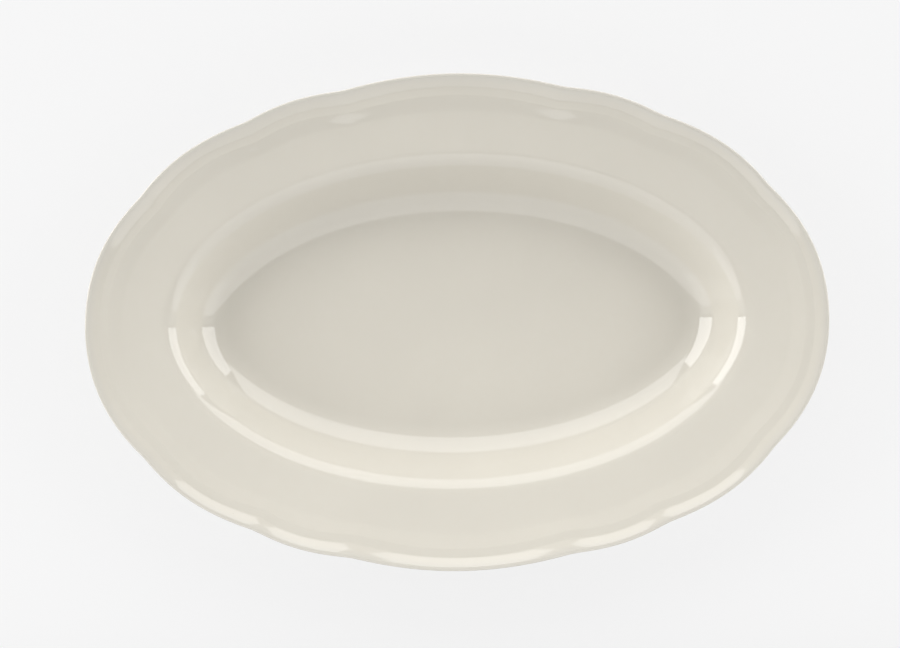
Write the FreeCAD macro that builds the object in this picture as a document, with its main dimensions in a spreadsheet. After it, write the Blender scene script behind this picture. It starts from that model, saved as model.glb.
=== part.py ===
import FreeCAD, Part
import math
import os

# A china serving platter: a scalloped oval dish pressed in one piece of china, with a moulded
# border, a broad flat rim, a sloping wall, a flat well and a foot ring underneath.
# The china is coated with glaze, in two coats parted by the bare band that the foot stands on.
#
# Frame: the origin is on the table under the centre of the dish, +Z up, +X along the oval.
# Everything is drawn from one section, which is carried round the oval. A point of the section
# has an inset (how far in from the edge), a level (its height), a share (how much of the
# edge's scallops it follows) and, at a corner, the radius that the corner is rounded to.

SIZES = (
    ("oval_length", 260.0, "length of the oval that the scallops are laid on"),
    ("oval_width", 172.4, "width of the oval that the scallops are laid on"),
    ("height", 28.0, "table to the top of the lip"),
    # the scalloped edge, by the angle round the oval from its long axis
    ("end_notch_angle", 32.0, "notch that closes the lobe at each end"),
    ("middle_notch_angle", 56.0, "notch between the two short lobes"),
    ("side_notch_angle", 72.5, "notch that closes the long lobe at each side"),
    ("shallow_notch", 0.2, "how far the end and middle notches lie inside the oval"),
    ("deep_notch", 0.7, "how far the side notch lies inside the oval"),
    ("end_lobe_rise", 0.56, "rise of the end lobe over its notches"),
    ("end_lobe_dip", 0.36, "how much the top of the end lobe is flattened"),
    ("shoulder_lobe_rise", 1.37, "rise of the first short lobe"),
    ("small_lobe_rise", 1.08, "rise of the second short lobe"),
    ("long_lobe_rise", 1.44, "rise of the long lobe at each side"),
    ("border_share", 1.5, "how much stronger the scallops are on the moulded line"),
    # the border, from the edge inwards
    ("lip_width", 1.2, "lip, across its top"),
    ("lip_radius", 0.8, "rounding of the lip's outer edge"),
    ("lip_inner_radius", 1.5, "rounding from the lip into the hollow"),
    ("lip_under_radius", 1.5, "rounding under the lip"),
    ("lip_thickness", 3.3, "lip, top to underside"),
    ("cove_width", 3.8, "hollow inside the lip, across"),
    ("cove_depth", 1.6, "hollow inside the lip, fall from the lip"),
    ("ledge_width", 2.9, "narrow ledge inside the hollow, across"),
    ("ledge_fall", 0.2, "fall across the ledge"),
    ("riser_width", 4.7, "soft step from the ledge to the rim, across"),
    ("riser_fall", 1.45, "fall of the soft step"),
    ("border_radius", 2.5, "rounding of the moulded lines"),
    ("step_radius", 8.0, "rounding where the soft step meets the rim"),
    # the rim, the wall and the well
    ("rim_width", 16.7, "flat rim, across"),
    ("rim_fall", 1.75, "fall across the flat rim"),
    ("rim_thickness", 3.5, "flat rim, top to underside"),
    ("wall_run", 13.6, "wall, across"),
    ("wall_thickness", 4.0, "wall, measured square to it"),
    ("floor_thickness", 3.8, "floor of the well"),
    ("brow_radius", 6.5, "rounding from the rim into the well"),
    ("well_radius", 12.0, "rounding from the wall into the floor"),
    ("back_radius", 9.0, "rounding from the rim to the wall on the underside"),
    # the foot ring
    ("foot_height", 2.2, "foot ring, below the underside of the floor"),
    ("foot_width", 3.2, "foot ring, across its standing face"),
    ("foot_taper", 0.5, "draft of each side of the foot ring"),
    ("foot_neck", 0.8, "height of the foot's outer corner over the underside of the floor"),
    ("foot_radius", 0.8, "rounding of the standing face"),
    ("foot_fillet", 1.2, "rounding where the foot ring meets the wall and the floor"),
    # the glaze
    ("glaze_thickness", 0.25, "coat of glaze"),
    ("glaze_stop", 1.1, "height at which the glaze ends on the foot ring"),
)

OUTLINE_POINTS = 240  # control points round each outline of the dish
HALF_WAY = OUTLINE_POINTS // 2
OUTLINE_DEGREE = 3
LEVEL_TOLERANCE = 1e-6


# ---- the document, with its sheet of sizes and the oval of the edge ----

def make_sheet(doc):
    sheet = doc.addObject("Spreadsheet::Sheet", "Sizes")
    for row, (alias, value, note) in enumerate(SIZES, 1):
        sheet.set(f"A{row}", note)
        sheet.set(f"B{row}", str(value))
        sheet.setAlias(f"B{row}", alias)
    doc.recompute()
    return sheet


def make_oval(doc):
    """The oval of the edge, which every outline of the dish is laid inside."""
    oval = doc.addObject("Part::Ellipse", "EdgeOval")
    oval.setExpression("MajorRadius", "Sizes.oval_length / 2")
    oval.setExpression("MinorRadius", "Sizes.oval_width / 2")
    doc.recompute()
    return oval


# ---- the section ----

class Corner:
    """A corner of the section. Outwards from the middle of the dish is minus inset."""

    def __init__(self, inset, level, share=0.0, radius=0.0):
        self.inset = inset
        self.level = level
        self.share = share
        self.radius = radius

    def towards(self, other, reach):
        """The point that lies reach along the straight line from here to the other corner."""
        part = reach / distance(self, other)
        return Corner(
            self.inset + part * (other.inset - self.inset),
            self.level + part * (other.level - self.level),
            self.share + part * (other.share - self.share),
        )


def distance(one, other):
    return math.hypot(other.inset - one.inset, other.level - one.level)


def heading(one, other):
    """The direction from one corner to the other, as outwards and upwards parts."""
    length = distance(one, other)
    return (one.inset - other.inset) / length, (other.level - one.level) / length


def crossing(start, along, other_start, other_along):
    """Where two lines cross, as inset and level, each given by a point and a heading."""
    across = along[0] * other_along[1] - along[1] * other_along[0]
    gap_out = start[0] - other_start[0]
    gap_up = other_start[1] - start[1]
    reach = (gap_out * other_along[1] - gap_up * other_along[0]) / across
    return start[0] - reach * along[0], start[1] + reach * along[1]


def turn(before, corner, after):
    """How far the section turns at a corner: above 0 to the left, below 0 to the right."""
    first = heading(before, corner)
    second = heading(corner, after)
    cross = first[0] * second[1] - first[1] * second[0]
    dot = first[0] * second[0] + first[1] * second[1]
    return math.atan2(cross, dot)


def sunk(corners, depths):
    """The section with each of its straight runs moved into the china by its own depth."""
    runs = list(zip(corners, corners[1:]))
    starts = []
    headings = []
    for (one, other), depth in zip(runs, depths):
        out, up = heading(one, other)
        starts.append((one.inset - depth * up, one.level - depth * out))
        headings.append((out, up))
    moved = [Corner(starts[0][0], starts[0][1], corners[0].share)]
    for number in range(1, len(corners) - 1):
        corner = corners[number]
        bend = turn(corners[number - 1], corner, corners[number + 1])
        if abs(bend) < 1e-6:
            inset, level = starts[number]
        else:
            inset, level = crossing(
                starts[number - 1], headings[number - 1], starts[number], headings[number]
            )
        growth = min(depths[number - 1], depths[number]) * math.copysign(1, bend)
        radius = corner.radius + growth if corner.radius else 0.0
        moved.append(Corner(inset, level, corner.share, radius))
    last = corners[-1]
    moved.append(Corner(last.inset, last.level + depths[-1], last.share))
    return moved


def spans(corners):
    """The section as spans, each a list of (corner, weight): two for a straight run and
    three for the arc that rounds a corner. The runs to both middles are left out."""
    found = []
    here = None
    for before, corner, after in zip(corners, corners[1:], corners[2:]):
        bend = abs(turn(before, corner, after))
        reach = corner.radius * math.tan(bend / 2)
        arc_start = corner.towards(before, reach)
        arc_end = corner.towards(after, reach)
        if here is not None:
            found.append([(here, 1.0), (arc_start, 1.0)])
        if reach:
            found.append([(arc_start, 1.0), (corner, math.cos(bend / 2)), (arc_end, 1.0)])
        here = arc_end
    return found


def first_of(run):
    return run[0][0][0]


def last_of(run):
    return run[-1][-1][0]


def finished_section(size):
    """The corners of the finished dish, from the middle of the well over the lip to the
    middle of the underside, and the places of the two ends of the glaze among them."""
    middle = size.oval_width / 2
    cove_inset = size.lip_width + size.cove_width
    ledge_inset = cove_inset + size.ledge_width
    step_inset = ledge_inset + size.riser_width
    brow_inset = step_inset + size.rim_width
    floor_inset = brow_inset + size.wall_run
    cove_level = size.height - size.cove_depth
    ledge_level = cove_level - size.ledge_fall
    step_level = ledge_level - size.riser_fall
    brow_level = step_level - size.rim_fall
    floor_level = size.foot_height + size.floor_thickness
    border = size.border_share
    half_border = border / 2

    brow = Corner(brow_inset, brow_level, 0.0, size.brow_radius)
    well = Corner(floor_inset, floor_level, 0.0, size.well_radius)
    step = Corner(step_inset, step_level, half_border, size.step_radius)
    face = [
        Corner(middle, floor_level),
        well,
        brow,
        step,
        Corner(ledge_inset, ledge_level, border, size.border_radius),
        Corner(cove_inset, cove_level, border, size.border_radius),
        Corner(size.lip_width, size.height, 1.0, size.lip_inner_radius),
        Corner(0.0, size.height, 1.0, size.lip_radius),
        Corner(0.0, size.height - size.lip_thickness, 1.0, size.lip_under_radius),
    ]

    back_step = Corner(step_inset, step_level - size.rim_thickness, half_border, size.back_radius)
    out, up = heading(well, brow)
    behind_wall = (
        well.inset - size.wall_thickness * up,
        well.level - size.wall_thickness * out,
    )
    down_wall = (-out, -up)
    under_rim = heading(step, brow)
    back_brow = crossing(
        (back_step.inset, back_step.level), under_rim, behind_wall, down_wall
    )
    neck_level = size.foot_height + size.foot_neck
    neck = crossing((0.0, neck_level), (-1.0, 0.0), behind_wall, down_wall)
    outer_foot = neck[0] + size.foot_taper
    inner_foot = outer_foot + size.foot_width
    inner_neck = inner_foot + size.foot_taper
    outer_slope = size.foot_taper / neck_level
    inner_slope = size.foot_taper / size.foot_height
    back = [
        back_step,
        Corner(back_brow[0], back_brow[1], 0.0, size.back_radius),
        Corner(neck[0], neck[1], 0.0, size.foot_fillet),
        Corner(outer_foot - size.glaze_stop * outer_slope, size.glaze_stop),
        Corner(outer_foot, 0.0, 0.0, size.foot_radius),
        Corner(inner_foot, 0.0, 0.0, size.foot_radius),
        Corner(inner_foot + size.glaze_stop * inner_slope, size.glaze_stop),
        Corner(inner_neck, size.foot_height, 0.0, size.foot_fillet),
        Corner(middle, size.foot_height),
    ]
    corners = face + back
    outer_end = len(face) + 3
    inner_end = len(face) + 6
    return corners, outer_end, inner_end


def china_section(corners, outer_end, size):
    """The section of the china alone: the finished one less its glaze all round, apart
    from the standing face of the foot, which is bare."""
    depths = [size.glaze_thickness] * (len(corners) - 1)
    standing_face = outer_end + 1
    depths[standing_face] = 0.0
    return sunk(corners, depths)


# ---- the outlines and faces that carry the section round the oval ----

def arch(part, rise, dip=0.0):
    """A lobe's height over its notches, where part runs from 0 to 1 across the lobe."""
    return rise * math.sin(math.pi * part) + dip * math.sin(3 * math.pi * part)


def scallop(angle, size):
    """How far the scalloped edge stands out from the oval, at an angle from the long axis."""
    fold = math.degrees(angle) % 180
    fold = min(fold, 180 - fold)
    ends = size.end_notch_angle
    middle = size.middle_notch_angle
    side = size.side_notch_angle
    shallow = -size.shallow_notch
    deep = -size.deep_notch
    lobes = (
        (-ends, ends, shallow, shallow, size.end_lobe_rise, size.end_lobe_dip),
        (ends, middle, shallow, shallow, size.shoulder_lobe_rise, 0.0),
        (middle, side, shallow, deep, size.small_lobe_rise, 0.0),
        (side, 180 - side, deep, deep, size.long_lobe_rise, 0.0),
    )
    for start, end, start_level, end_level, rise, dip in lobes:
        if start <= fold <= end:
            part = (fold - start) / (end - start)
            return start_level + part * (end_level - start_level) + arch(part, rise, dip)


class Outlines:
    """The outlines of the dish, as the control points of smooth closed curves."""

    def __init__(self, oval, size):
        long_half = oval.MajorRadius.Value
        short_half = oval.MinorRadius.Value
        step = 2 * math.pi / OUTLINE_POINTS
        # a smooth curve runs this much inside its control points on a round outline
        swell = 3 / (2 + math.cos(step))
        self.rays = []
        for number in range(OUTLINE_POINTS):
            angle = number * step
            spoke = FreeCAD.Vector(math.cos(angle), math.sin(angle), 0)
            square = FreeCAD.Vector(short_half * spoke.x, long_half * spoke.y, 0).normalize()
            edge = FreeCAD.Vector(long_half * spoke.x, short_half * spoke.y, 0) * swell
            outwards = (spoke + square) * (swell / 2)
            self.rays.append((edge, outwards, scallop(angle, size)))

    def points(self, corner):
        """The control points of the outline that one point of the section draws."""
        found = []
        for edge, outwards, lobe in self.rays:
            place = edge + outwards * (corner.share * lobe - corner.inset)
            found.append(FreeCAD.Vector(place.x, place.y, corner.level))
        return found

    def halves(self, shape):
        """A closed curve or band, parted at the two ends of the dish."""
        found = []
        for start, end in ((0, HALF_WAY), (HALF_WAY, OUTLINE_POINTS)):
            half = shape.copy()
            if isinstance(shape, Part.BSplineSurface):
                half.segment(start, end, 0, 1)
            else:
                half.segment(start, end)
            found.append(half.toShape())
        return found

    def ring(self, span):
        """The faces that a span of the section sweeps on its way round."""
        start, end = first_of([span]), last_of([span])
        if abs(start.level - end.level) < LEVEL_TOLERANCE:
            return self.flat_ring(start, end)
        grid = [self.points(corner) for corner, weight in span]
        poles = [list(row) for row in zip(*grid)]
        weights = [[weight for corner, weight in span] for _ in range(OUTLINE_POINTS)]
        band = Part.BSplineSurface()
        band.buildFromPolesMultsKnots(
            poles,
            [1] * (OUTLINE_POINTS + 1),
            [len(span), len(span)],
            list(range(OUTLINE_POINTS + 1)),
            [0, 1],
            True,
            False,
            OUTLINE_DEGREE,
            len(span) - 1,
            weights,
        )
        return self.halves(band)

    def outline(self, corner):
        """The two halves of the closed outline that one point of the section draws."""
        curve = Part.BSplineCurve()
        curve.buildFromPolesMultsKnots(
            self.points(corner),
            [1] * (OUTLINE_POINTS + 1),
            list(range(OUTLINE_POINTS + 1)),
            True,
            OUTLINE_DEGREE,
        )
        return self.halves(curve)

    def flat_ring(self, one, other):
        """The flat faces between two outlines on one level."""
        faces = []
        for half, other_half in zip(self.outline(one), self.outline(other)):
            ends = [
                Part.makeLine(point.Point, other_point.Point)
                for point, other_point in zip(half.Vertexes, other_half.Vertexes)
            ]
            border = Part.__sortEdges__([half, other_half] + ends)
            faces.append(Part.Face(Part.Wire(border)))
        return faces

    def disc(self, corner):
        """The flat face inside one outline."""
        return [Part.Face(Part.Wire(self.outline(corner)))]


def closed_solid(faces):
    shell = Part.makeShell(faces)
    shell.sewShape()
    solid = Part.makeSolid(shell)
    if solid.Volume < 0:
        solid.reverse()
    return solid


def sub_part(doc, name, faces):
    """A scalloped free-form piece is neither a primitive nor a sketched feature, so its
    shape is set from its own faces."""
    piece = doc.addObject("Part::Feature", name)
    piece.Label = name
    piece.Shape = closed_solid(faces)
    piece.Placement = FreeCAD.Placement()
    return piece


# ---- the three sub-parts ----

def split_at(run, corner):
    """The spans of the section before and after a corner that isn't rounded."""
    for number in range(len(run)):
        if distance(last_of(run[:number + 1]), corner) < 1e-6:
            return run[:number + 1], run[number + 1:]
    raise ValueError("no span of the section ends at this corner")


def rings(outlines, run):
    return [face for span in run for face in outlines.ring(span)]


def make_china(doc, outlines, china):
    """The fired china, with its foot ring in one piece."""
    faces = rings(outlines, china)
    faces += outlines.disc(first_of(china))
    faces += outlines.disc(last_of(china))
    return sub_part(doc, "body", faces)


def make_outer_glaze(doc, outlines, coat, under):
    """The glaze over the whole face, round the lip and down the back to the foot ring."""
    faces = rings(outlines, coat + under)
    faces += outlines.disc(first_of(coat))
    faces += outlines.disc(first_of(under))
    faces += outlines.ring([(last_of(coat), 1.0), (last_of(under), 1.0)])
    return sub_part(doc, "outer_glaze", faces)


def make_base_glaze(doc, outlines, coat, under):
    """The glaze on the underside, inside the foot ring."""
    faces = rings(outlines, coat + under)
    faces += outlines.disc(last_of(coat))
    faces += outlines.disc(last_of(under))
    faces += outlines.ring([(first_of(coat), 1.0), (first_of(under), 1.0)])
    return sub_part(doc, "base_glaze", faces)


def build():
    doc = FreeCAD.newDocument("Platter")
    size = make_sheet(doc)
    outlines = Outlines(make_oval(doc), size)
    corners, outer_end, inner_end = finished_section(size)
    china_corners = china_section(corners, outer_end, size)
    finished = spans(corners)
    china = spans(china_corners)
    outer_coat = split_at(finished, corners[outer_end])[0]
    base_coat = split_at(finished, corners[inner_end])[1]
    under_outer = split_at(china, china_corners[outer_end])[0]
    under_base = split_at(china, china_corners[inner_end])[1]
    pieces = [
        make_china(doc, outlines, china),
        make_outer_glaze(doc, outlines, outer_coat, under_outer),
        make_base_glaze(doc, outlines, base_coat, under_base),
    ]
    doc.recompute()
    return doc, pieces


def check(doc, pieces):
    for thing in doc.Objects:
        if "Invalid" in thing.State or "Error" in thing.State:
            raise RuntimeError(f"{thing.Name} failed: {thing.State}")
    for piece in pieces:
        if piece.Shape.isNull() or not piece.Shape.isValid():
            raise RuntimeError(f"{piece.Label} has no valid shape")
        if len(piece.Shape.Solids) != 1 or piece.Shape.Volume <= 0:
            raise RuntimeError(f"{piece.Label} is not one closed solid")


def write(pieces):
    os.makedirs("parts", exist_ok=True)
    for piece in pieces:
        piece.Shape.exportStep(f"parts/{piece.Label}.step")
        box = piece.Shape.BoundBox
        print(
            f"{piece.Label}: {piece.Shape.Volume / 1000:.2f} cm3,"
            f" {box.XLength:.2f} x {box.YLength:.2f} x {box.ZLength:.2f} mm"
        )


document, sub_parts = build()
check(document, sub_parts)
write(sub_parts)
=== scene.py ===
import math

import bpy
import numpy as np
from mathutils import Matrix, Vector


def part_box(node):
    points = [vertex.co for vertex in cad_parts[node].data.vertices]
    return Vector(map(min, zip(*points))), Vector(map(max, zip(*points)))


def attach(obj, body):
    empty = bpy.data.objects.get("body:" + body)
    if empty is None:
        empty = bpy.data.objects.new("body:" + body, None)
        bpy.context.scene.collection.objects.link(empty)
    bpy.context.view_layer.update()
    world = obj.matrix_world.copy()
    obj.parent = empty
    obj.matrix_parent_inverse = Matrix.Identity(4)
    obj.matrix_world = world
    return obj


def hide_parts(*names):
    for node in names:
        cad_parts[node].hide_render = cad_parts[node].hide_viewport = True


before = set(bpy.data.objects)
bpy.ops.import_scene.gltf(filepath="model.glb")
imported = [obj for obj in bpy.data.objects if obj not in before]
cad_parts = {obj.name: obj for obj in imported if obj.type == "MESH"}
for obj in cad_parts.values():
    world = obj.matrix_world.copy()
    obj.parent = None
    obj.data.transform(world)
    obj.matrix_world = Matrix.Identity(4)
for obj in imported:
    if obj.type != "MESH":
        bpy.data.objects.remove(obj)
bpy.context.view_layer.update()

MM = 0.001


# ---- The outer coat of glaze ----
# A cream glaze that covers the face, the lip and the back of the platter down to the foot
# ring. The platter is pressed from a round blank of clay, so the coat is drawn as a section,
# spun round like the blank, and then pressed out to the scalloped oval of the mould.

# the oval, and the levels of its lip, of the well's floor and of the underside
LONG_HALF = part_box("outer_glaze")[1][0]
SHORT_HALF = 86.2 * MM
MIDDLE = SHORT_HALF
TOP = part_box("outer_glaze")[1][2]
FLOOR = 6.0 * MM
BASE = 2.2 * MM
GLAZE = 0.25 * MM

# how far in from the edge the lines of the border, the rim and the well lie
LIP = 1.2 * MM
HOLLOW = 5.0 * MM
LEDGE = 7.9 * MM
STEP = 12.6 * MM
BROW = 29.3 * MM
WELL = 42.9 * MM

# how far these lines lie below the top of the lip, and how thick the lip and the rim are
HOLLOW_DEPTH = 1.6 * MM
LEDGE_DEPTH = 1.8 * MM
STEP_DEPTH = 3.25 * MM
BROW_DEPTH = 5.0 * MM
LIP_THICKNESS = 3.3 * MM
RIM_THICKNESS = 3.5 * MM

# where the back of the rim turns down into the back of the wall, 4 mm behind its face
BACK_BROW = 26.765 * MM
BACK_BROW_LEVEL = 19.766 * MM

# the foot ring, by its insets from the edge, its draft and the levels on its sides
FOOT_OUTSIDE = 40.678 * MM
FOOT_WIDTH = 3.2 * MM
FOOT_INSIDE = FOOT_OUTSIDE + FOOT_WIDTH
FOOT_DRAFT = 0.5 * MM
FOOT_NECK = 3.0 * MM
FOOT_ROUNDING = 0.8 * MM
FOOT_FILLET = 1.2 * MM
GLAZE_END = 1.1 * MM
OUTSIDE_END = FOOT_OUTSIDE - FOOT_DRAFT * GLAZE_END / FOOT_NECK
INSIDE_END = FOOT_INSIDE + FOOT_DRAFT * GLAZE_END / BASE

# each corner of the section has its inset from the edge, its level and its rounding, from the
# middle of the well over the lip to the middle of the underside
SECTION = (
    (MIDDLE, FLOOR, 0.0),
    (WELL, FLOOR, 15.0 * MM),
    (BROW, TOP - BROW_DEPTH, 9.0 * MM),
    (STEP, TOP - STEP_DEPTH, 8.0 * MM),
    (LEDGE, TOP - LEDGE_DEPTH, 2.5 * MM),
    (HOLLOW, TOP - HOLLOW_DEPTH, 2.5 * MM),
    (LIP, TOP, 1.5 * MM),
    (0.0, TOP, 0.5 * MM),
    (0.0, TOP - LIP_THICKNESS, 1.5 * MM),
    (STEP, TOP - (STEP_DEPTH + RIM_THICKNESS), 9.0 * MM),
    (BACK_BROW, BACK_BROW_LEVEL, 9.0 * MM),
    (FOOT_OUTSIDE - FOOT_DRAFT, FOOT_NECK, FOOT_FILLET),
    (OUTSIDE_END, GLAZE_END, 0.0),
    (FOOT_OUTSIDE, 0.0, FOOT_ROUNDING),
    (FOOT_INSIDE, 0.0, FOOT_ROUNDING),
    (INSIDE_END, GLAZE_END, 0.0),
    (FOOT_INSIDE + FOOT_DRAFT, BASE, FOOT_FILLET),
    (MIDDLE, BASE, 0.0),
)
# the corner where the outer coat ends, the run that stays bare, and the next coat's first corner
OUTER_END = 12
STANDING_FACE = 13
INNER_START = 15

# how finely a section is drawn where it is seen and where it is covered, and spun round
FINE_TURN, FINE_RUN = math.radians(5), 3 * MM
COARSE_TURN, COARSE_RUN = math.radians(12), 9 * MM
SPOKES = 400
SAME_PLACE = 0.002 * MM
IN_LINE = 1e-6
SMOOTH_BELOW = math.radians(50)


def sunk(corners):
    """The corners of the section moved in under the glaze, all but the bare standing face."""
    places = [Vector((SHORT_HALF - inset, level)) for inset, level, radius in corners]
    runs = []
    for number, (one, other) in enumerate(zip(places, places[1:])):
        along = (other - one).normalized()
        depth = 0.0 if number == STANDING_FACE else GLAZE
        runs.append((one + Vector((along.y, -along.x)) * depth, along, depth))
    moved = [(corners[0][0], corners[0][1] - GLAZE, 0.0)]
    for (start, along, depth), (onward, ahead, next_depth), corner in zip(
        runs, runs[1:], corners[1:]
    ):
        across = along.cross(ahead)
        place = onward
        if abs(across) > IN_LINE:
            place = start + along * ((onward - start).cross(ahead) / across)
        growth = math.copysign(min(depth, next_depth), across) if corner[2] else 0.0
        moved.append((SHORT_HALF - place.x, place.y, corner[2] + growth))
    moved.append((corners[-1][0], corners[-1][1] + GLAZE, 0.0))
    return moved


def rounded(corners, arc_step, run_step):
    """The points of a section, with its corners turned on their own radii and its straight
    runs parted into short ones."""
    places = [Vector((SHORT_HALF - inset, level)) for inset, level, radius in corners]
    bends = [places[0]]
    for before, here, after, corner in zip(places, places[1:], places[2:], corners[1:]):
        back, onward = (before - here).normalized(), (after - here).normalized()
        turn = math.pi - back.angle(onward)
        radius = corner[2]
        reach = radius * math.tan(turn / 2)
        if reach == 0:
            bends.append(here)
            continue
        middle = here + (back + onward).normalized() * radius / math.cos(turn / 2)
        start = here + back * reach - middle
        side = math.copysign(1, back.cross(onward))
        steps = max(2, round(turn / arc_step))
        for step in range(steps + 1):
            swing = Matrix.Rotation(-side * turn * step / steps, 2)
            bends.append(middle + swing @ start)
    bends.append(places[-1])
    points = [bends[0]]
    for one, other in zip(bends, bends[1:]):
        parts = max(1, math.ceil((other - one).length / run_step))
        points += [one.lerp(other, part / parts) for part in range(1, parts + 1)]
    return points


def rolled(outside, inside):
    """The section of a coat: out along its glossy side, round its edge and back below."""
    middle = (outside[-1] + inside[-1]) / 2
    reach = outside[-1] - middle
    edge = []
    for part in (1, 2, 3):
        swing = math.pi * part / 4
        drop = Vector((0, -GLAZE / 2))
        edge.append(middle + reach * math.cos(swing) + drop * math.sin(swing))
    return outside + edge + inside[::-1]


def spun(name, points):
    """A section drawn as a line of points and spun round the middle of the dish."""
    bpy.ops.object.select_all(action="DESELECT")
    bpy.ops.mesh.primitive_plane_add(size=MM, location=(points[0].x, 0, points[0].y))
    piece = bpy.context.object
    piece.name = name
    bpy.ops.object.transform_apply(location=True)
    bpy.ops.object.mode_set(mode="EDIT")
    bpy.ops.mesh.select_all(action="SELECT")
    bpy.ops.mesh.merge(type="CENTER")
    for one, other in zip(points, points[1:]):
        step = (other.x - one.x, 0, other.y - one.y)
        bpy.ops.mesh.extrude_vertices_move(TRANSFORM_OT_translate={"value": step})
    bpy.ops.mesh.select_all(action="SELECT")
    bpy.ops.mesh.spin(steps=SPOKES, angle=2 * math.pi, center=(0, 0, 0), axis=(0, 0, 1))
    bpy.ops.mesh.select_all(action="SELECT")
    bpy.ops.mesh.remove_doubles(threshold=SAME_PLACE)
    bpy.ops.mesh.normals_make_consistent(inside=False)
    bpy.ops.object.mode_set(mode="OBJECT")
    return piece


# The mould's edge has twelve lobes, which are given here for a quarter of it: where each
# starts and ends, how far its two notches lie inside the oval, its rise and its flattening.
LOBES = (
    (-32.0, 32.0, 0.2, 0.2, 0.56, 0.36),
    (32.0, 56.0, 0.2, 0.2, 1.37, 0.0),
    (56.0, 72.5, 0.2, 0.7, 1.08, 0.0),
    (72.5, 107.5, 0.7, 0.7, 1.44, 0.0),
)
SOFTENING = math.radians(1.2)
# how strongly the outlines follow the lobes, by their inset from the edge
SHARE_INSETS = (0.0, LIP, HOLLOW, LEDGE, STEP, BROW)
SHARES = (1.0, 1.0, 1.5, 1.5, 0.75, 0.0)
# the inset beyond which the outlines of the floor only shrink towards the middle
FLOOR_INSET = 48.7 * MM


def lobe(angle):
    """How far the edge stands out from the oval, at each of the angles."""
    fold = np.degrees(angle) % 180
    fold = np.minimum(fold, 180 - fold)
    height = np.zeros_like(fold)
    for start, end, notch, last_notch, rise, flat in LOBES:
        part = (fold - start) / (end - start)
        arch = rise * np.sin(np.pi * part) + flat * np.sin(3 * np.pi * part)
        inside = (fold >= start) & (fold <= end)
        height = np.where(inside, arch - notch - part * (last_notch - notch), height)
    return height * MM


def pressed(piece):
    """The spun blank, pressed out to the scalloped oval."""
    mesh = piece.data
    places = np.empty(len(mesh.vertices) * 3)
    mesh.vertices.foreach_get("co", places)
    places = places.reshape(-1, 3)
    reach = np.hypot(places[:, 0], places[:, 1])
    angle = np.arctan2(places[:, 1], places[:, 0])
    spoke = np.stack((np.cos(angle), np.sin(angle)), axis=1)
    square = spoke * (SHORT_HALF, LONG_HALF)
    square /= np.linalg.norm(square, axis=1, keepdims=True)
    outwards = (spoke + square) / 2
    around = [lobe(angle + turn) for turn in (-SOFTENING, 0, SOFTENING)]
    scallop = (around[0] + 4 * around[1] + around[2]) / 6
    inset = SHORT_HALF - reach
    share = np.interp(inset, SHARE_INSETS, SHARES)
    ring_inset = np.minimum(inset, FLOOR_INSET)
    outline = spoke * (LONG_HALF, SHORT_HALF)
    outline += outwards * (share * scallop - ring_inset)[:, None]
    inner = np.minimum(1, reach / (SHORT_HALF - FLOOR_INSET))
    places[:, :2] = outline * inner[:, None]
    mesh.vertices.foreach_set("co", places.ravel())
    mesh.update()


under_section = sunk(SECTION)
outer_line = rolled(
    rounded(SECTION[:OUTER_END + 1], FINE_TURN, FINE_RUN),
    rounded(under_section[:OUTER_END + 1], COARSE_TURN, COARSE_RUN),
)
outer_coat = spun("outer_coat", outer_line)
pressed(outer_coat)
bpy.ops.object.shade_smooth_by_angle(angle=SMOOTH_BELOW)

CREAM = (0.64, 0.61, 0.54)
DEEP_CREAM = (0.65, 0.615, 0.535)
# a darker, greyer cream, painted on the top of the lip as shade
LIP_SHADE_CREAM = (0.585, 0.565, 0.515)
SPECK = (0.30, 0.24, 0.17)
GLAZE_IOR = 1.6


def shade(colour, part=1):
    """A colour, made a little darker or lighter."""
    return tuple(part * value for value in colour) + (1,)


def noise(tree, place, scale, detail):
    """A cloudy value between 0 and 1; the scale is in waves to the metre."""
    node = tree.nodes.new("ShaderNodeTexNoise")
    node.inputs["Scale"].default_value = scale
    node.inputs["Detail"].default_value = detail
    tree.links.new(place, node.inputs["Vector"])
    return node.outputs["Fac"]


def spots(tree, place, scale, size, chance):
    """1 inside small round spots, in a share of the cells that the surface is parted into."""
    cells = tree.nodes.new("ShaderNodeTexVoronoi")
    cells.inputs["Scale"].default_value = scale
    tree.links.new(place, cells.inputs["Vector"])
    near = spread(tree, cells.outputs["Distance"], 0.5 * size, size, 1, 0)
    luck = tree.nodes.new("ShaderNodeSeparateColor")
    tree.links.new(cells.outputs["Color"], luck.inputs["Color"])
    chosen = spread(tree, luck.outputs["Red"], chance, 1.01 * chance, 1, 0)
    both = tree.nodes.new("ShaderNodeMath")
    both.operation = "MULTIPLY"
    tree.links.new(near, both.inputs[0])
    tree.links.new(chosen, both.inputs[1])
    return both.outputs["Value"]


def spread(tree, value, low, high, new_low, new_high):
    """A value carried from one range to another, and held at its ends."""
    node = tree.nodes.new("ShaderNodeMapRange")
    for name, number in zip(
        ("From Min", "From Max", "To Min", "To Max"), (low, high, new_low, new_high)
    ):
        node.inputs[name].default_value = number
    tree.links.new(value, node.inputs["Value"])
    return node.outputs["Result"]


def blend(tree, part, first, second):
    """Two colours, each a fixed one or a socket, mixed by a value."""
    node = tree.nodes.new("ShaderNodeMix")
    node.data_type = "RGBA"
    tree.links.new(part, node.inputs["Factor"])
    for name, colour in (("A", first), ("B", second)):
        socket = [each for each in node.inputs if each.name == name and each.type == "RGBA"][0]
        if isinstance(colour, tuple):
            socket.default_value = colour
        else:
            tree.links.new(colour, socket)
    return [each for each in node.outputs if each.type == "RGBA"][0]


def bump(tree, height, distance, normal=None):
    """A relief as deep as the distance, laid over an earlier one."""
    node = tree.nodes.new("ShaderNodeBump")
    node.inputs["Distance"].default_value = distance
    tree.links.new(height, node.inputs["Height"])
    if normal is not None:
        tree.links.new(normal, node.inputs["Normal"])
    return node.outputs["Normal"]


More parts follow.
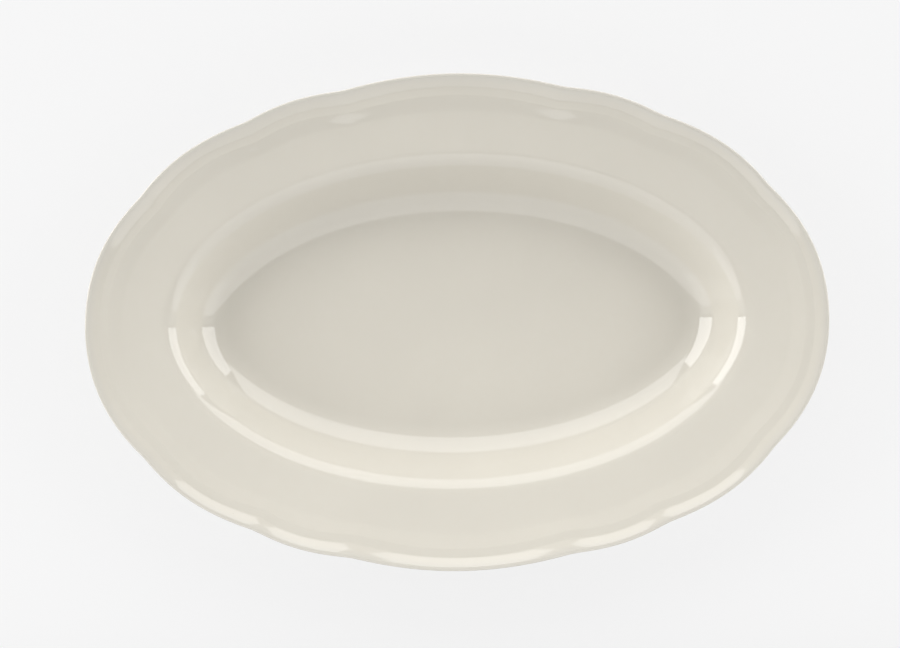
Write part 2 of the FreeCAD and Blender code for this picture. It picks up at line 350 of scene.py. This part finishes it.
def cream_glaze():
    """Cream glaze over white china: faintly cloudy and mottled, with painted shade that darkens
    the top of the lip, and with a few tiny kiln specks, fine scratches and a soft ripple."""
    material = bpy.data.materials.new("cream glaze")
    material.use_nodes = True
    tree = material.node_tree
    shader = tree.nodes["Principled BSDF"]
    place = tree.nodes.new("ShaderNodeTexCoord").outputs["Object"]
    height = tree.nodes.new("ShaderNodeSeparateXYZ")
    tree.links.new(place, height.inputs["Vector"])
    level = height.outputs["Z"]

    cloud = spread(tree, noise(tree, place, 28, 3), 0.3, 0.7, 0, 1)
    colour = blend(tree, cloud, shade(CREAM, 0.985), shade(CREAM, 1.015))
    mottle = spread(tree, noise(tree, place, 320, 2), 0.35, 0.75, 0, 0.25)
    colour = blend(tree, mottle, colour, shade(DEEP_CREAM, 0.97))
    # painted shade: the colour turns darker and greyer towards the top of the lip
    lip_shade = spread(tree, level, TOP - 0.9 * MM, TOP - 0.1 * MM, 0, 0.5)
    colour = blend(tree, lip_shade, colour, shade(LIP_SHADE_CREAM))
    speck = spread(tree, spots(tree, place, 150, 0.025, 0.12), 0, 1, 0, 0.4)
    colour = blend(tree, speck, colour, shade(SPECK))
    tree.links.new(colour, shader.inputs["Base Color"])

    # cutlery and stacking leave faint scratches that run mostly one way
    streaks = tree.nodes.new("ShaderNodeMapping")
    streaks.inputs["Rotation"].default_value = (0, 0, math.radians(35))
    streaks.inputs["Scale"].default_value = (1, 14, 1)
    tree.links.new(place, streaks.inputs["Vector"])
    scratch = noise(tree, streaks.outputs["Vector"], 180, 2)
    wear = spread(tree, scratch, 0.55, 0.75, 0.035, 0.06)
    tree.links.new(wear, shader.inputs["Roughness"])
    shader.inputs["IOR"].default_value = GLAZE_IOR

    ripple = bump(tree, noise(tree, place, 40, 1), 0.05 * MM)
    peel = bump(tree, noise(tree, place, 700, 1), 0.0015 * MM, ripple)
    tree.links.new(peel, shader.inputs["Normal"])
    return material


glaze_finish = cream_glaze()
outer_coat.data.materials.append(glaze_finish)
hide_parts("outer_glaze")
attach(outer_coat, "root")


# ---- The coat of glaze on the underside ----
# The same glaze, on the flat panel inside the foot ring. It is poured in and drained, and
# ends in a rolled edge just above the standing face, like the outer coat.

base_line = rolled(
    rounded(SECTION[INNER_START:], FINE_TURN, FINE_RUN)[::-1],
    rounded(under_section[INNER_START:], COARSE_TURN, COARSE_RUN)[::-1],
)
base_coat = spun("base_coat", base_line)
pressed(base_coat)
bpy.ops.object.shade_smooth_by_angle(angle=SMOOTH_BELOW)
base_coat.data.materials.append(glaze_finish)
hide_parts("base_glaze")
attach(base_coat, "root")


# ---- The fired china ----
# Dense white china in one piece. It shows only on the standing face of the foot, which is
# wiped clean of glaze before the platter is fired.

FOOT_RUN = 1 * MM
china_line = rounded(under_section[:OUTER_END + 1], COARSE_TURN, COARSE_RUN)
china_line += rounded(under_section[OUTER_END:INNER_START + 1], FINE_TURN, FOOT_RUN)[1:]
china_line += rounded(under_section[INNER_START:], COARSE_TURN, COARSE_RUN)[1:]
china = spun("china", china_line)
pressed(china)
bpy.ops.object.shade_smooth_by_angle(angle=SMOOTH_BELOW)


DARK_CHINA = (0.56, 0.51, 0.43)
PALE_CHINA = (0.70, 0.66, 0.58)
STAIN = (0.50, 0.44, 0.35)
GRIT = (0.26, 0.21, 0.16)


def bare_china():
    """Bare fired china: matt, a little warmer than the glaze, sandy, with kiln grit."""
    material = bpy.data.materials.new("bare fired china")
    material.use_nodes = True
    tree = material.node_tree
    shader = tree.nodes["Principled BSDF"]
    place = tree.nodes.new("ShaderNodeTexCoord").outputs["Object"]
    grain = noise(tree, place, 1400, 4)
    sand = spread(tree, grain, 0.3, 0.7, 0, 1)
    colour = blend(tree, sand, shade(DARK_CHINA), shade(PALE_CHINA))
    stain = spread(tree, noise(tree, place, 60, 3), 0.5, 0.8, 0, 0.5)
    colour = blend(tree, stain, colour, shade(STAIN))
    grit = spots(tree, place, 900, 0.16, 0.2)
    colour = blend(tree, grit, colour, shade(GRIT))
    tree.links.new(colour, shader.inputs["Base Color"])
    shader.inputs["Roughness"].default_value = 0.75
    tree.links.new(bump(tree, grain, 0.08 * MM), shader.inputs["Normal"])
    return material


china.data.materials.append(bare_china())
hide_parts("body")
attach(china, "root")


# ---- The white table and the soft light ----
# A sheet of matt white paper, shown to the camera a little lighter than it is lit, so that the
# backdrop is even and keeps a soft shadow.

TABLE_SIZE = 6.0
TABLE_GAP = 0.05 * MM
PAPER = (0.9, 0.9, 0.9, 1)
SEEN_PAPER = (0.91, 0.91, 0.912, 1)
SEEN_SHARE = 0.85

bpy.ops.mesh.primitive_plane_add(size=TABLE_SIZE, location=(0, 0, -TABLE_GAP))
table = bpy.context.object
table.name = "table"
paper = bpy.data.materials.new("white paper")
paper.use_nodes = True
paper_tree = paper.node_tree
paper_shader = paper_tree.nodes["Principled BSDF"]
paper_shader.inputs["Base Color"].default_value = PAPER
paper_shader.inputs["Roughness"].default_value = 0.9
paper_shader.inputs["Specular IOR Level"].default_value = 0.2
glow = paper_tree.nodes.new("ShaderNodeEmission")
glow.inputs["Color"].default_value = SEEN_PAPER
seen = paper_tree.nodes.new("ShaderNodeLightPath").outputs["Is Camera Ray"]
lift = spread(paper_tree, seen, 0, 1, 0, SEEN_SHARE)
backdrop = paper_tree.nodes.new("ShaderNodeMixShader")
paper_tree.links.new(lift, backdrop.inputs["Fac"])
paper_tree.links.new(paper_shader.outputs["BSDF"], backdrop.inputs[1])
paper_tree.links.new(glow.outputs["Emission"], backdrop.inputs[2])
paper_tree.links.new(
    backdrop.outputs["Shader"], paper_tree.nodes["Material Output"].inputs["Surface"]
)
table.data.materials.append(paper)

world = bpy.data.worlds.new("studio")
bpy.context.scene.world = world
world.use_nodes = True
surroundings = world.node_tree.nodes["Background"]
surroundings.inputs["Color"].default_value = (1, 1, 1, 1)
surroundings.inputs["Strength"].default_value = 0.02


def softbox(name, place, target, width, height, brightness):
    """A soft lamp, evenly bright over its whole face, that faces its target."""
    lamp = bpy.data.lights.new(name, "AREA")
    lamp.shape = "RECTANGLE"
    lamp.size = width
    lamp.size_y = height
    lamp.energy = brightness * math.pi * width * height
    box = bpy.data.objects.new(name, lamp)
    bpy.context.scene.collection.objects.link(box)
    box.location = place
    box.rotation_euler = (Vector(target) - Vector(place)).to_track_quat("-Z", "Y").to_euler()
    box.visible_camera = False


# a wide light beyond the platter, and an upright one with a weak fill at each side
softbox("top light", (0, 1.08, 0.63), (0, 0, 0), 1.80, 1.15, 2.0)
for side, name, brightness, fill in ((-1, "left", 4.1, 0.6), (1, "right", 3.2, 0.5)):
    softbox(name + " light", (side, 0.5, 0.53), (0, 0.5, 0.53), 1.0, 1.02, brightness)
    softbox(name + " fill", (1.1 * side, -0.5, 0.5), (0, -0.3, 0), 0.9, 0.9, fill)
# a white card that stands just in front of the platter
softbox("front card", (0, -0.14, 0.21), (0, 1, 0.21), 1.1, 0.36, 1.2)

# the camera looks straight down; the view is as wide as VIEW_WIDTH at the level of the lip
DISTANCE = 1.0
VIEW_WIDTH = 0.3141
SENSOR_WIDTH = 36
ROLL = math.radians(-1.11)

lens = bpy.data.cameras.new("camera")
camera = bpy.data.objects.new("camera", lens)
bpy.context.scene.collection.objects.link(camera)
bpy.context.scene.camera = camera
lens.sensor_width = SENSOR_WIDTH
lens.lens = SENSOR_WIDTH * DISTANCE / VIEW_WIDTH
camera.location = (-0.0025, -0.0006, TOP + DISTANCE)
camera.rotation_euler = (0, 0, ROLL)

bpy.context.scene.view_settings.view_transform = "Standard"
